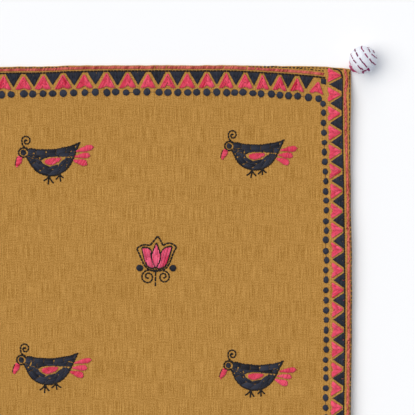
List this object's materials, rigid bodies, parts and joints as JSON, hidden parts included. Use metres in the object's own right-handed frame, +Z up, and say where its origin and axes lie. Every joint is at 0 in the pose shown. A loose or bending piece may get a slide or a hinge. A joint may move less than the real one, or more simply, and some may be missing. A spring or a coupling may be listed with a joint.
{
  "type": "kantha table runner",
  "caption": "Long flat mustard cotton table runner with a hand-embroidered triangle border, bird and lotus motifs, and a small cloth-covered ball tied to each corner.",
  "frame": {"origin": "middle of the runner's underside, on the surface it lies on", "axes": "+Y along the runner's length, +X across its width, +Z up out of its embroidered side"},
  "size_m": [0.3734, 1.8324, 0.0235],
  "materials": {
    "mustard_cotton": "dull handwoven cotton",
    "white_cotton": "dull plain-woven cotton",
    "magenta_thread": "soft sheen, wound thread",
    "navy_thread": "soft sheen, stitched thread",
    "pink_thread": "soft sheen, stitched thread",
    "coral_thread": "soft sheen, stitched thread",
    "plum_thread": "soft sheen, stitched thread"
  },
  "bodies": {
    "root": {"runner_cloth": "mustard_cotton", "corner_ball_1": "white_cotton", "corner_ball_2": "white_cotton", "corner_ball_3": "white_cotton", "corner_ball_4": "white_cotton", "ball_neck_1": "magenta_thread", "ball_neck_2": "magenta_thread", "ball_neck_3": "magenta_thread", "ball_neck_4": "magenta_thread"}
  },
  "joints": []
}
